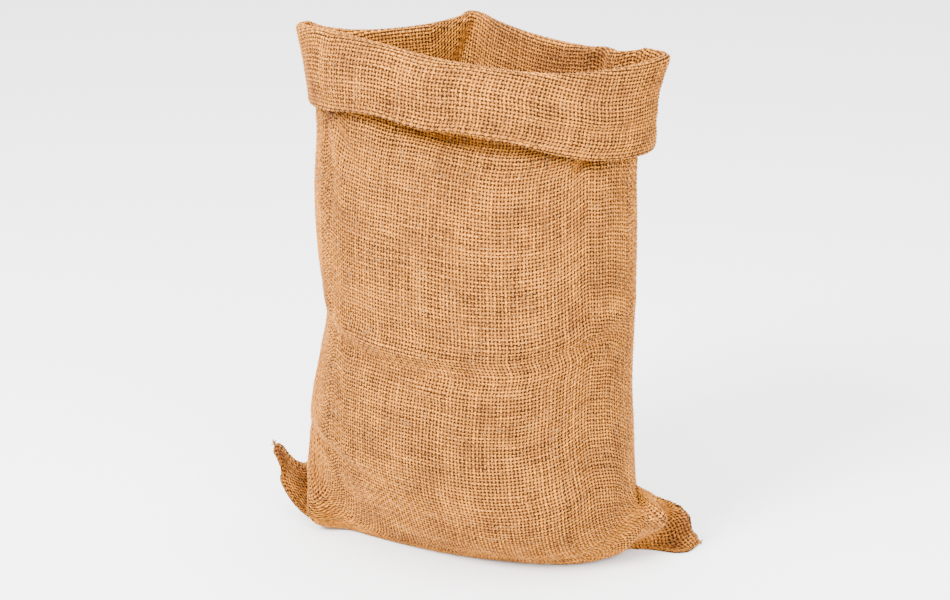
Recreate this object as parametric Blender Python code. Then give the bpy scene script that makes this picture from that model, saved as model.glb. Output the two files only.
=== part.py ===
"""Burlap sack standing open, with its mouth turned out into a cuff.

The sack is one length of plain-woven jute, folded at the right-hand side and closed along
the left side and the bottom. It stands on its bottom and keeps the rounded shape of a full
sack; the two bottom corners lie outside that shape as flat ears. Sizes are in metres,
Z is up, +X is the sack's own right-hand side and the front faces -Y.
"""

import bmesh
import bpy
import numpy as np

# ---------------------------------------------------------------- sizes of the cloth
FLAT_WIDTH = 0.330      # width of the empty sack laid flat
SHEET = 0.0016          # thickness of the cloth
PRESSED = 0.0013        # half the distance between two layers pressed together
SETTLED = 0.0007        # how far the sack's weight presses the bottom flat
HEM_RADIUS = 0.0019     # roll at the lower edge of the cuff
HEM_TURN = 0.026        # cloth turned under, inside the cuff

# ---------------------------------------------------------------- sections of the body
# One row for each section, from the bottom seam to the rim. left/right: reach to each side;
# front/back: depth; sharp: 1 is a round end, more is a pinched one; z: height in the middle
# of the front and back and at the two ends; turn: degrees about Z; lean: how much fuller the
# right half of the front is; vee: how far the back is folded to a ridge; sag: dip of the front.
SECTION_NAMES = ("section", "left", "right", "front", "back", "sharp_left", "sharp_right",
                 "z_front", "z_back", "z_left", "z_right", "turn", "y_mid", "lean", "vee", "sag")
SECTIONS = (
    ("bottom seam", .1580, .1620, .0002, .0002, 5.0, 4.5, .0008, .0008, .001, .001, 3, .012, .0, .0, 0),
    ("floor inner", .1540, .1530, .0210, .0210, 4.0, 2.6, .0008, .0008, .016, .016, 3, .011, .2, .0, 0),
    ("floor outer", .1480, .1430, .0335, .0420, 2.8, 1.2, .0008, .0008, .034, .030, 2, .008, .45, .0, 0),
    ("bottom edge", .1385, .1325, .0436, .0600, 1.8, .85, .0105, .0110, .052, .043, 1, .004, .50, .0, 0),
    ("above edge",  .1335, .1255, .0628, .0680, 1.3, .95, .0330, .0330, .072, .062, 0, .002, .36, .0, 0),
    ("low",         .1302, .1232, .0765, .0720, 1.1, 1.0, .0700, .0700, .110, .104, 0, .001, .12, .0, 0),
    ("low middle",  .1248, .1208, .0790, .0720, 1.05, 1.0, .1200, .1200, .154, .150, 0, .0, .0, .0, 0),
    ("middle",      .1230, .1208, .0780, .0710, 1.05, 1.0, .1900, .1900, .217, .215, 0, .0, .0, .1, 0),
    ("high middle", .1222, .1212, .0740, .0690, 1.05, 1.0, .2600, .2600, .280, .276, 0, .0, .0, .3, .002),
    ("under cuff",  .1250, .1210, .0670, .0670, 1.05, 1.0, .3180, .3180, .330, .324, 0, .0, .0, .6, .008),
    ("neck",        .1280, .1255, .0590, .0700, 1.2, 1.05, .3600, .3615, .3685, .3575, 0, .0, .0, .85, .012),
    ("rim",         .1308, .1385, .0500, .0760, 1.6, 1.35, .3985, .4060, .4045, .3950, 0, .0, .0, 1., .016),
)
RIDGE_X = -0.016        # where the ridge at the back stands
RIDGE_SIDE_DIP = 0.009  # dip of the rim beside the ridge
SAG_X = 0.050           # lowest place of the front rim
SAG_REACH = 0.165       # how far the dip reaches towards the left

# ---------------------------------------------------------------- the cuff
# along: 0 left seam, 1 right-hand fold, 2 left seam again; hang: how far the cuff hangs down;
# top/low: how far it stands off the body just under the rim and at its lower edge.
CUFF_NAMES = ("place", "along", "hang", "top", "low")
CUFF = (
    ("left end",         0.00, .060, .0046, .0052),
    ("front left",       0.15, .054, .0054, .0054),
    ("front mid left",   0.30, .0515, .0058, .0062),
    ("front middle",     0.45, .0485, .0060, .0085),
    ("front mid right",  0.60, .050, .0060, .0085),
    ("front right",      0.75, .058, .0056, .0070),
    ("right end",        1.00, .075, .0046, .0100),
    ("back right",       1.25, .066, .0056, .0080),
    ("back middle",      1.50, .060, .0060, .0080),
    ("back left",        1.75, .058, .0056, .0070),
    ("left end again",   2.00, .060, .0046, .0052),
)

# ---------------------------------------------------------------- folds and dents
# along as above; up: share of the height from the bottom seam to the rim; turn: degrees
# between the long axis and the weft; deep: metres inward, less than nothing for a swelling.
FOLD_NAMES = ("fold", "along", "up", "turn", "long", "wide", "deep")
FOLDS = (
    ("left waist",      0.02, .455,  80, .034, .030, .0066),
    ("left pinch",      0.05, .800,  70, .020, .011, .0035),
    ("left fan, high",  0.13, .775, -42, .030, .009, .0022),
    ("left fan, low",   0.13, .725, -55, .035, .012, .0020),
    ("under the cuff",  0.40, .800, -10, .070, .018, .0030),
    ("right dimple",    0.70, .760,  10, .014, .010, .0040),
    ("right waist",     0.97, .760,  85, .030, .020, .0020),
    ("slant crease",    0.24, .500, -33, .055, .010, .0016),
    ("low slant",       0.12, .250, -60, .045, .014, .0020),
    ("front swelling",  0.55, .400,  80, .120, .070, -.0030),
    ("back hollow",     1.50, .550,  70, .090, .060, .0040),
    ("back crease",     1.30, .350,  30, .070, .018, .0030),
)

# ---------------------------------------------------------------- the ears
# Where the two edges of each ear run, from its root on the body to its tip: the edge that is
# the bottom seam and the edge that is the side of the sack. gap: distance between the two
# layers, as a multiple of PRESSED.
EAR_NAMES = ("station", "way", "seam_x", "seam_y", "seam_z", "side_x", "side_y", "side_z", "gap")
LEFT_EAR = (
    ("body",   0.00, -.0760, .009, .0008, -.1340, .003, .0680, 9.0),
    ("root",   0.25, -.1030, .010, .0008, -.1370, .006, .0580, 5.0),
    ("swell",  0.45, -.1260, .009, .0010, -.1410, .010, .0505, 2.4),
    ("bend",   0.60, -.1420, .008, .0050, -.1460, .013, .0480, 1.7),
    ("waist",  0.75, -.1520, .008, .0180, -.1510, .015, .0480, 1.4),
    ("neck",   0.88, -.1585, .010, .0370, -.1560, .015, .0530, 1.4),
    ("tip",    1.00, -.1650, .012, .0600, -.1600, .013, .0640, 1.3),
)
RIGHT_EAR = (
    ("body",   0.00, .0790, .014, .0008, .1270, .003, .0600, 9.0),
    ("root",   0.25, .1030, .014, .0008, .1300, .007, .0525, 5.0),
    ("swell",  0.45, .1220, .015, .0008, .1370, .012, .0480, 2.6),
    ("bend",   0.60, .1390, .018, .0008, .1460, .018, .0430, 1.7),
    ("waist",  0.75, .1540, .023, .0008, .1560, .025, .0340, 1.6),
    ("neck",   0.88, .1650, .030, .0010, .1650, .034, .0200, 1.4),
    ("tip",    1.00, .1690, .044, .0030, .1710, .046, .0090, 1.2),
)
ROOT_LEVEL = 2.5        # how long the root of an ear stays down on the floor before it climbs
EAR_LEGS = ((.085, .066), (.080, .060))     # along the bottom seam and up the side, left and right

# ---------------------------------------------------------------- how finely it is built
COLUMNS_HALF = 32       # columns across the front, and as many across the back
END_COLUMN = 0.004      # an extra column this share of the width from each end
CROWDING = 0.35         # columns stand closer towards the ends
FLOOR_RINGS = 7         # rings from the bottom seam to above the bottom edge
WALL_RINGS = 17         # rings from there to the rim
ROLL_RINGS = 2          # rings over the rim
CUFF_RINGS = 4          # rings down the cuff
HEM_RINGS = 2           # rings round the roll at the cuff's lower edge
TURN_RINGS = 2          # rings up the turned-under cloth
TRACE_RINGS = 300       # rings of the fine surface that all the others are taken from
FLOOR_SHARE = 0.16      # share of the height taken by the floor rings


def column_of(rows, names, name):
    """One named column of a table."""
    place = names.index(name)
    return [row[place] for row in rows]


def curve(knots, values, at):
    """A smooth curve through a table's rows that never swings past them."""
    k = np.asarray(knots, float)
    v = np.asarray(values, float)
    rise = np.diff(v) / np.diff(k)
    slope = np.zeros_like(v)
    slope[0] = rise[0]
    slope[-1] = rise[-1]
    for i in range(1, len(v) - 1):
        if rise[i - 1] * rise[i] > 0:
            before = 2 * (k[i + 1] - k[i]) + (k[i] - k[i - 1])
            after = (k[i + 1] - k[i]) + 2 * (k[i] - k[i - 1])
            slope[i] = (before + after) / (before / rise[i - 1] + after / rise[i])
    i = np.clip(np.searchsorted(k, at, side="right") - 1, 0, len(k) - 2)
    step = k[i + 1] - k[i]
    t = (at - k[i]) / step
    start = (2 * t**3 - 3 * t**2 + 1) * v[i] + (t**3 - 2 * t**2 + t) * step * slope[i]
    end = (-2 * t**3 + 3 * t**2) * v[i + 1] + (t**3 - t**2) * step * slope[i + 1]
    return start + end


def ease(t):
    """0 to 1 with a gentle start and end."""
    t = np.clip(t, 0, 1)
    return t * t * (3 - 2 * t)


def section_knots():
    """Cloth length from the bottom seam up the middle of the front, at each section."""
    depth = column_of(SECTIONS, SECTION_NAMES, "front")
    height = column_of(SECTIONS, SECTION_NAMES, "z_front")
    return np.concatenate([[0], np.cumsum(np.hypot(np.diff(depth), np.diff(height)))])


KNOTS = section_knots()
RIM = KNOTS[-1]


def half_outline(size, depth, vee, lean, places):
    """One half of a section, left end to right end, evenly walked; depth comes out positive."""
    angle = np.linspace(0, np.pi, 721)
    c = np.cos(angle)
    s = np.clip(np.sin(angle), 0, 1)
    on_left = c > 0
    reach = np.where(on_left, size["left"], size["right"])
    x = -c * reach
    round_side = s ** np.where(on_left, size["sharp_left"], size["sharp_right"])
    span = np.where(x < RIDGE_X, RIDGE_X + size["left"], size["right"] - RIDGE_X)
    ridge = 1 - np.sqrt((np.abs(x - RIDGE_X) / span) ** 2 + .002)
    ridge = np.clip(ridge / ridge.max(), 0, 1) ** np.where(x < RIDGE_X, 1.35, 1.25)
    y = ((1 - vee) * round_side + vee * ridge) * depth * (1 + lean * x / reach)
    from_end = np.clip(1 - (reach - np.abs(x)) / PRESSED, 0, 1)
    y = y + PRESSED * np.sqrt(1 - from_end**2)
    walked = np.concatenate([[0], np.cumsum(np.hypot(np.diff(x), np.diff(y)))])
    at = places * walked[-1]
    return np.interp(at, walked, x), np.interp(at, walked, y)


def end_rise(x, size, middle, power):
    """Height along a section: level in the middle, climbing to its two ends."""
    share = np.clip(np.where(x < 0, -x / size["left"], x / size["right"]), 0, 1)
    end = np.where(x < 0, size["z_left"], size["z_right"])
    near_floor = np.clip(1 - middle / .030, 0, 1)
    return middle + (end - middle) * share ** (power + 4 * near_floor)


def unit(v):
    """Vectors of length one."""
    return v / (np.linalg.norm(v, axis=-1, keepdims=True) + 1e-12)


def ear_points(rows, out, across, layer):
    """Points of an ear: out from root to tip, across from the seam edge to the side edge."""
    way = column_of(rows, EAR_NAMES, "way")
    out = np.clip(out, 0, 1)

    def edge(name, at):
        return np.stack([curve(way, column_of(rows, EAR_NAMES, name + axis), at) for axis in "xyz"], -1)

    seam = edge("seam_", out)
    side = edge("side_", out)
    near = np.clip(out - .02, 0, .96)
    onward = edge("seam_", near + .04) + edge("side_", near + .04) - edge("seam_", near) - edge("side_", near)
    normal = unit(np.cross(onward, side - seam))
    gap = 1 + (curve(way, column_of(rows, EAR_NAMES, "gap"), out) - 1) * (1 - across**2)
    apart = (layer * PRESSED * gap)[..., None]
    share = ((across + 1) / 2)[..., None]
    climb = np.concatenate([share, share, share ** (1 + ROOT_LEVEL * (1 - out[..., None]))], -1)
    return seam + (side - seam) * climb + apart * normal


def half_places():
    """Places of the columns along one half, 0 to 1, crowded towards the ends."""
    t = np.linspace(0, 1, COLUMNS_HALF + 1)
    even = t - CROWDING * np.sin(2 * np.pi * t) / (2 * np.pi)
    return np.sort(np.concatenate([even, [END_COLUMN, 1 - END_COLUMN]]))


def body_surface(lengths, places):
    """The body from the bottom seam to the rim: rings of points, front first, then back."""
    half = len(places) - 1
    along = np.concatenate([places[:half], 2 - places[::-1][:half]])
    sizes = {n: curve(KNOTS, column_of(SECTIONS, SECTION_NAMES, n), lengths) for n in SECTION_NAMES[1:]}
    points = np.zeros((len(lengths), 2 * half, 3))
    for i in range(len(lengths)):
        size = {n: sizes[n][i] for n in sizes}
        fx, fy = half_outline(size, size["front"], 0, size["lean"], places)
        bx, by = half_outline(size, size["back"], size["vee"], 0, places)
        left_of = np.clip((SAG_X - fx) / SAG_REACH, 0, 1)
        right_of = np.clip((fx - SAG_X) / (size["right"] - SAG_X), 0, 1)
        dip = size["sag"] * np.where(fx < SAG_X, np.cos(np.pi * left_of / 2) ** 2, 1 - right_of**2.2)
        from_ridge = np.where(bx < RIDGE_X, (RIDGE_X - bx) / (RIDGE_X + size["left"]),
                              (bx - RIDGE_X) / (size["right"] - RIDGE_X))
        back_dip = RIDGE_SIDE_DIP * size["vee"] * np.sin(np.pi * np.clip(from_ridge, 0, 1))
        fz = end_rise(fx, size, size["z_front"], 3 - 1.2 * size["vee"]) - dip
        bz = end_rise(bx, size, size["z_back"], 3 - 1.6 * size["vee"]) - back_dip
        x = np.concatenate([fx[:half], bx[::-1][:half]])
        y = np.concatenate([-fy[:half], by[::-1][:half]])
        turn = np.radians(size["turn"])
        points[i, :, 0] = x * np.cos(turn) - y * np.sin(turn)
        points[i, :, 1] = x * np.sin(turn) + y * np.cos(turn) + size["y_mid"]
        points[i, :, 2] = np.concatenate([fz[:half], bz[::-1][:half]])
    u, s = np.meshgrid(along, lengths)
    layer = np.where(u <= 1, -1.0, 1.0)
    from_left = np.minimum(u, 2 - u) * FLAT_WIDTH
    from_right = np.abs(1 - u) * FLAT_WIDTH
    for rows, r, legs, side in ((LEFT_EAR, from_left, EAR_LEGS[0], 1), (RIGHT_EAR, from_right, EAR_LEGS[1], -1)):
        out = 1 - r / legs[0] - s / legs[1]
        across = (s / legs[1] - r / legs[0]) / (s / legs[1] + r / legs[0] + 1e-9)
        rounded = side * layer * np.sqrt(np.clip(r / (END_COLUMN * FLAT_WIDTH), 0, 1))
        share = ease(out / .50)[..., None]
        points = points * (1 - share) + ear_points(rows, out, across, rounded) * share
    return points, along


def outward(points):
    """Unit normals of a grid of rings that closes round its columns."""
    across = np.roll(points, -1, 1) - np.roll(points, 1, 1)
    normal = np.cross(across, np.gradient(points, axis=0))
    return normal / (np.linalg.norm(normal, axis=2, keepdims=True) + 1e-12)


def fold_depth(u, s):
    """How far the folds and dents press the cloth inward."""
    total = np.zeros_like(u)
    for row in FOLDS:
        fold = dict(zip(FOLD_NAMES, row))
        turn = np.radians(fold["turn"])
        for lap in (-2, 0, 2):
            a = (u - fold["along"] + lap) * FLAT_WIDTH
            b = s - fold["up"] * RIM
            lengthwise = (a * np.cos(turn) + b * np.sin(turn)) / fold["long"]
            crosswise = (b * np.cos(turn) - a * np.sin(turn)) / fold["wide"]
            total += fold["deep"] * np.exp(-(lengthwise**2) - crosswise**2)
    return total


def taken_at(grid, s):
    """Rows of a fine grid at the given cloth lengths, one length for each column."""
    row = np.clip(s / RIM, 0, 1) * (len(grid) - 1)
    low = np.clip(row.astype(int), 0, len(grid) - 2)
    share = (row - low)[:, None]
    column = np.arange(grid.shape[1])
    return grid[low, column] * (1 - share) + grid[low + 1, column] * share


def middle_surface():
    """The middle of the cloth: floor, wall, roll over the rim, cuff, hem and turned-under edge."""
    trace = np.linspace(0, RIM, TRACE_RINGS)
    fine, along = body_surface(trace, half_places())
    u, s = np.meshgrid(along, trace)
    fine = fine - outward(fine) * fold_depth(u, s)[..., None]
    fine[..., 2] = SHEET / 2 + np.maximum(fine[..., 2] - SHEET / 2 - SETTLED, 0)
    normal = outward(fine)
    every = np.ones(len(along))
    floor = np.linspace(0, FLOOR_SHARE, FLOOR_RINGS)
    wall = np.linspace(FLOOR_SHARE, 1, WALL_RINGS + 1)[1:]
    rings = [taken_at(fine, every * RIM * share) for share in np.concatenate([floor, wall])]

    place = column_of(CUFF, CUFF_NAMES, "along")
    hang = curve(place, column_of(CUFF, CUFF_NAMES, "hang"), along)
    top = curve(place, column_of(CUFF, CUFF_NAMES, "top"), along)
    low = curve(place, column_of(CUFF, CUFF_NAMES, "low"), along)
    up = unit(fine[-1] - fine[-6])
    for angle in np.linspace(0, np.pi, ROLL_RINGS + 2)[1:]:
        sideways = (top / 2 * (1 - np.cos(angle)))[:, None]
        rise = (top / 2 * np.sin(angle))[:, None]
        rings.append(fine[-1] + normal[-1] * sideways + up * rise)
    for share in np.linspace(0, 1, CUFF_RINGS + 1)[1:]:
        at = RIM - share * hang
        off = (top + (low - top) * ease(share * 1.1))[:, None]
        rings.append(taken_at(fine, at) + taken_at(normal, at) * off)

    foot = taken_at(fine, RIM - hang)
    foot_normal = taken_at(normal, RIM - hang)
    foot_up = unit(taken_at(fine, RIM - hang + .004) - taken_at(fine, RIM - hang - .004))
    inner = np.maximum(low - 2 * HEM_RADIUS, .0024)
    radius = (low - inner) / 2
    for angle in np.linspace(0, np.pi, HEM_RINGS + 2)[1:-1]:
        off = (low - radius + radius * np.cos(angle))[:, None]
        drop = (radius * np.sin(angle))[:, None]
        rings.append(foot + foot_normal * off - foot_up * drop)
    for share in np.linspace(0, 1, TURN_RINGS + 1):
        at = RIM - hang + share * HEM_TURN
        off = (inner + (np.minimum(inner, .0026) - inner) * ease(share * 1.5))[:, None]
        rings.append(taken_at(fine, at) + taken_at(normal, at) * off)
    return np.stack(rings)


def cloth_solid(name, middle):
    """A closed sheet of even thickness round the middle surface, closed along the bottom seam."""
    count, columns, _ = middle.shape
    half = columns // 2
    normal = outward(middle)
    opposite = (columns - np.arange(columns)) % columns
    upward = unit(middle[1] - middle[0])
    through = unit(middle[0] - middle[0][opposite])
    seam_normal = np.cross(np.roll(middle[0], -1, 0) - np.roll(middle[0], 1, 0), upward + through)
    normal[0] = unit(seam_normal)
    for corner in (0, half):
        normal[0][corner] = unit(normal[0][corner] - upward[corner])
    skins = np.stack([middle + normal * SHEET / 2, middle - normal * SHEET / 2])
    box = skins.reshape(-1, 3)
    skins[..., :2] -= (box.min(axis=0) + box.max(axis=0))[:2] / 2
    skins[..., 2] = np.maximum(skins[..., 2], 0)
    bm = bmesh.new()
    outer, inner = [[[bm.verts.new(p) for p in ring] for ring in skin] for skin in skins]
    for i in range(count - 1):
        for j in range(columns):
            k = (j + 1) % columns
            bm.faces.new((outer[i][j], outer[i][k], outer[i + 1][k], outer[i + 1][j]))
            bm.faces.new((inner[i][k], inner[i][j], inner[i + 1][j], inner[i + 1][k]))
    for j in range(columns):
        k = (j + 1) % columns
        bm.faces.new((outer[-1][j], outer[-1][k], inner[-1][k], inner[-1][j]))
    for skin, faces_down in ((outer[0], True), (inner[0], False)):
        for j in range(half):
            front = (skin[j], skin[j + 1])
            back = (skin[(columns - j) % columns], skin[columns - j - 1])
            corners = [front[0], back[0], back[1], front[1]]
            if not faces_down:
                corners.reverse()
            distinct = list(dict.fromkeys(corners))
            bm.faces.new(distinct)
    bmesh.ops.recalc_face_normals(bm, faces=bm.faces)
    bmesh.ops.triangulate(bm, faces=bm.faces)
    mesh = bpy.data.meshes.new(name)
    bm.to_mesh(mesh)
    bm.free()
    return bpy.data.objects.new(name, mesh)


def jute():
    """Undyed jute: golden brown and dull."""
    material = bpy.data.materials.new("jute burlap")
    material.use_nodes = True
    shader = material.node_tree.nodes["Principled BSDF"]
    shader.inputs["Base Color"].default_value = (0.52, 0.29, 0.13, 1)
    shader.inputs["Roughness"].default_value = 0.9
    return material


for old in list(bpy.data.objects):
    bpy.data.objects.remove(old, do_unlink=True)

sack = cloth_solid("sack_cloth", middle_surface())
sack.data.materials.append(jute())
bpy.context.scene.collection.objects.link(sack)
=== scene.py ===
# %% [markdown]
# # A burlap sack, woven yarn by yarn
#
# This script dresses a small jute sack that stands open with its mouth turned out. The solid
# that it stands in for is plain; here the cloth gets its yarns, its sewn edges, its loose
# fibres and its colour. Everything is in metres, Z is up, the front faces -Y.

# %% Load the frame
import bmesh
import bpy
import math
import numpy as np
from mathutils import Matrix, Vector


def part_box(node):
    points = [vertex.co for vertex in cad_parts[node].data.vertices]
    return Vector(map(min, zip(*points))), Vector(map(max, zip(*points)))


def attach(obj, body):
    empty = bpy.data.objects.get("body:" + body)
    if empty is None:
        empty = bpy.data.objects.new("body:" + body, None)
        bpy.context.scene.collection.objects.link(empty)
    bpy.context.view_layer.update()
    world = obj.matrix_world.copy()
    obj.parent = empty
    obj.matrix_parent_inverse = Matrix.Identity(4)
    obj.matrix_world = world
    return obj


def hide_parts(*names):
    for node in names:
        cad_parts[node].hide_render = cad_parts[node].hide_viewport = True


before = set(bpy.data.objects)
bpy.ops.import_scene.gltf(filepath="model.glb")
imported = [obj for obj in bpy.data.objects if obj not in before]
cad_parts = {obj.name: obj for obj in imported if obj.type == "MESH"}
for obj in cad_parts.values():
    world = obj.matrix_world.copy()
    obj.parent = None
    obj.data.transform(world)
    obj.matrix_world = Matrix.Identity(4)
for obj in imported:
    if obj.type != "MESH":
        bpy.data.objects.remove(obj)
cad_low, cad_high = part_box("sack_cloth")
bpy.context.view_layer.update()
centre_x = (cad_low[0] + cad_high[0]) / 2
centre_y = (cad_low[1] + cad_high[1]) / 2

# %% [markdown]
# ## Camera, floor and light
#
# The sack is seen a little from its right and from above, with a long lens that keeps its
# sides nearly parallel. A pale floor and three large, soft lights show the weave without hard
# shadows: a big one high on the left gives the yarns their form, the others fill in.

# %% Camera
VIEW_TURN = math.radians(15)
VIEW_RISE = math.radians(18)
VIEW_DISTANCE = 1.6
LENS = 79.8             # millimetres, for a sensor 36 wide
LOOK_ASIDE = -0.003     # the middle of the view, from the middle of the box
LOOK_HEIGHT = 0.2


def in_scene(name, data):
    """A new object in the scene that shows the given data."""
    thing = bpy.data.objects.new(name, data)
    bpy.context.scene.collection.objects.link(thing)
    return thing


look_at = Vector((centre_x + LOOK_ASIDE, centre_y, LOOK_HEIGHT))
toward_camera = Vector((math.sin(VIEW_TURN) * math.cos(VIEW_RISE),
                        -math.cos(VIEW_TURN) * math.cos(VIEW_RISE), math.sin(VIEW_RISE)))
camera = in_scene("camera", bpy.data.cameras.new("camera"))
camera.data.lens = LENS
camera.data.sensor_width = 36
camera.location = look_at + toward_camera * VIEW_DISTANCE
camera.rotation_euler = (-toward_camera).to_track_quat("-Z", "Y").to_euler()
bpy.context.scene.camera = camera
print("camera at", [round(v, 3) for v in camera.location])


# %% Floor and lights
FLOOR_DROP = 0.0004     # the floor lies just below the lowest yarns
SKY_STRENGTH = 3.2
LIGHTS = (              # name, place, side of its square, power
    ("light high left", (-0.90, -1.55, 1.65), 0.7, 175),
    ("light front right", (1.15, -1.35, 1.25), 1.0, 52),
    ("light above", (0.1, 0.0, 2.1), 1.2, 41),
)


def new_piece(name, shape):
    """An object with the mesh that a bmesh holds."""
    mesh = bpy.data.meshes.new(name)
    shape.to_mesh(mesh)
    shape.free()
    return in_scene(name, mesh)


def soft_light(name, place, size, power):
    """A square area light that shines at the middle of the sack."""
    lamp = bpy.data.lights.new(name, "AREA")
    lamp.size = size
    lamp.energy = power
    thing = in_scene(name, lamp)
    thing.location = place
    thing.rotation_euler = (look_at - thing.location).to_track_quat("-Z", "Y").to_euler()


floor_shape = bmesh.new()
bmesh.ops.create_grid(floor_shape, x_segments=1, y_segments=1, size=4)
bmesh.ops.translate(floor_shape, vec=(0, 0, -FLOOR_DROP), verts=floor_shape.verts)
studio_floor = new_piece("studio_floor", floor_shape)
paper = bpy.data.materials.new("pale studio paper")
paper.use_nodes = True
paper_shader = paper.node_tree.nodes["Principled BSDF"]
paper_shader.inputs["Base Color"].default_value = (0.92, 0.92, 0.92, 1)
paper_shader.inputs["Roughness"].default_value = 0.9
studio_floor.data.materials.append(paper)

for light in LIGHTS:
    soft_light(*light)
sky = bpy.data.worlds.new("studio air")
sky.use_nodes = True
air = sky.node_tree.nodes["Background"]
air.inputs["Color"].default_value = (1, 1, 1, 1)
air.inputs["Strength"].default_value = SKY_STRENGTH
bpy.context.scene.world = sky
print("floor,", len(LIGHTS), "lights and a white sky")

# %% [markdown]
# ## The cloth and its sizes
#
# The sack is one length of plain weave, folded at its right-hand side and sewn along the left
# side and the bottom. Nine yarns to the inch is an ordinary sack burlap. All other sizes come
# from the flat width, the yarn's pitch and the tables of the shape in which the cloth stands.

# %% Sizes
FLAT_WIDTH = 0.330      # width of the empty sack laid flat
SHEET = 0.0016          # thickness of the cloth, two yarns deep
PRESSED = 0.0013        # half the distance between two layers pressed together
SETTLED = 0.0007        # how far the sack's weight presses the bottom flat
HEM_RADIUS = 0.0019     # roll at the lower edge of the cuff
HEM_TURN = 0.026        # cloth turned under, inside the cuff
PITCH = 0.0028          # from yarn to yarn
WARP_YARNS = round(2 * FLAT_WIDTH / PITCH / 4) * 4
print("yarns that run up the sack:", WARP_YARNS)

# %% [markdown]
# ## Sections of the standing body
#
# A soft shape like this is easiest to describe as sections, as a boat builder would: one row
# for each height, from the bottom seam to the rim, with the reach to the left and right, the
# depth to the front and back, and how pinched each end is. A smooth curve that never
# overshoots its rows (a monotone cubic) fills in between them.

# %% Section table
# left/right: reach to each side; front/back: depth; sharp: 1 is a round end, more is pinched;
# z: height in the middle of the front and back and at the two ends; turn: degrees about Z;
# lean: how much fuller the right half of the front is; vee: how far the back is folded to a
# ridge; sag: dip of the front.
def table(columns, *rows):
    """A table: each row becomes a dictionary from the names of its columns."""
    return [dict(zip(columns.split(), row)) for row in rows]


SECTIONS = table(
    "section left right front back sharp_left sharp_right z_front z_back z_left z_right "
    "turn y_mid lean vee sag",
    ("bottom seam", .1580, .1620, .0002, .0002, 5.0, 4.5, .0008, .0008, .001, .001, 3, .012, .0, .0, 0),
    ("floor inner", .1540, .1530, .0210, .0210, 4.0, 2.6, .0008, .0008, .016, .016, 3, .011, .2, .0, 0),
    ("floor outer", .1480, .1430, .0320, .0420, 2.8, 1.50, .0008, .0008, .034, .030, 2, .008, .40, .0, 0),
    ("bottom edge", .1385, .1325, .0425, .0600, 1.8, 1.12, .0105, .0110, .052, .043, 1, .004, .40, .0, 0),
    ("above edge",  .1362, .1255, .0620, .0680, 1.45, 1.05, .0330, .0330, .072, .062, 0, .002, .36, .0, 0),
    ("low",         .1322, .1232, .0750, .0720, 1.30, 1.0, .0700, .0700, .110, .104, 0, .001, .12, .0, 0),
    ("low middle",  .1248, .1208, .0785, .0720, 1.26, 1.0, .1200, .1200, .154, .150, 0, .0, .0, .0, 0),
    ("middle",      .1234, .1222, .0780, .0710, 1.26, 1.0, .1900, .1900, .217, .215, 0, .0, .0, .1, 0),
    ("high middle", .1250, .1228, .0740, .0690, 1.26, 1.0, .2600, .2600, .280, .276, 0, .0, .0, .3, .002),
    ("under cuff",  .1224, .1230, .0670, .0670, 1.26, 1.0, .3180, .3180, .330, .324, 0, .0, .0, .6, .008),
    ("neck",        .1244, .1262, .0590, .0700, 1.2, 1.05, .3600, .3615, .3685, .3575, 0, .0, .0, .85, .012),
    ("rim",         .1324, .1385, .0500, .0760, 1.6, 1.35, .3985, .4030, .4045, .3950, 0, .0, .0, 1., .016),
)
RIM_BACK = SECTIONS[-1]["z_back"]
RIDGE_X = -0.0185       # where the ridge at the back stands, at the rim
RIDGE_SLANT = 0.40      # how far it leans to the left going down
RIDGE_REACH = 0.09      # and how far down it leans
RIDGE_HOLLOW = (1.35, 1.25)     # how hollow the cloth comes up to it, on its left and right
RIDGE_ROUND = 0.0003    # roundness of its top
SIDE_DIP = 0.011        # dip of the rim beside the ridge
SIDE_DIP_SHARE = (0.88, 0.94)   # how much of that on its left and right
SIDE_DIP_REACH = (0.95, 0.90)   # over how much of the way to each end
SIDE_DIP_POWER = 0.6    # below 1, so the dip is full
SAG_X = 0.050           # lowest place of the front rim
SAG_REACH = 0.165       # how far the dip reaches towards the left
SAG_POWER = 2.2         # how late it rises again towards the right
print(len(SECTIONS), "sections, the back of the rim at", RIM_BACK, "m")


# %% Curves through a table
def column(rows, name):
    """One named column of a table."""
    return [row[name] for row in rows]


def curve(knots, values, at):
    """A smooth curve through a table's rows that never swings past them."""
    k = np.asarray(knots, float)
    v = np.asarray(values, float)
    rise = np.diff(v) / np.diff(k)
    slope = np.zeros_like(v)
    slope[0] = rise[0]
    slope[-1] = rise[-1]
    for i in range(1, len(v) - 1):
        if rise[i - 1] * rise[i] > 0:
            before = 2 * (k[i + 1] - k[i]) + (k[i] - k[i - 1])
            after = (k[i + 1] - k[i]) + 2 * (k[i] - k[i - 1])
            slope[i] = (before + after) / (before / rise[i - 1] + after / rise[i])
    i = np.clip(np.searchsorted(k, at, side="right") - 1, 0, len(k) - 2)
    step = k[i + 1] - k[i]
    t = (at - k[i]) / step
    start = (2 * t**3 - 3 * t**2 + 1) * v[i] + (t**3 - 2 * t**2 + t) * step * slope[i]
    end = (-2 * t**3 + 3 * t**2) * v[i + 1] + (t**3 - t**2) * step * slope[i + 1]
    return start + end


def ease(t):
    """0 to 1 with a gentle start and end."""
    t = np.clip(t, 0, 1)
    return t * t * (3 - 2 * t)


def bell(*away):
    """1 where all the given distances are 0, falling softly as any of them passes 1."""
    return np.exp(-sum(d**2 for d in away))


def unit(v):
    """Vectors of length one."""
    return v / (np.linalg.norm(v, axis=-1, keepdims=True) + 1e-12)


# KNOTS is how far up the front of the cloth each section lies
front_walk = np.hypot(np.diff(column(SECTIONS, "front")), np.diff(column(SECTIONS, "z_front")))
KNOTS = np.concatenate([[0], np.cumsum(front_walk)])
RIM = KNOTS[-1]
print("cloth from the bottom seam up the front to the rim:", round(RIM, 4), "m")


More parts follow.
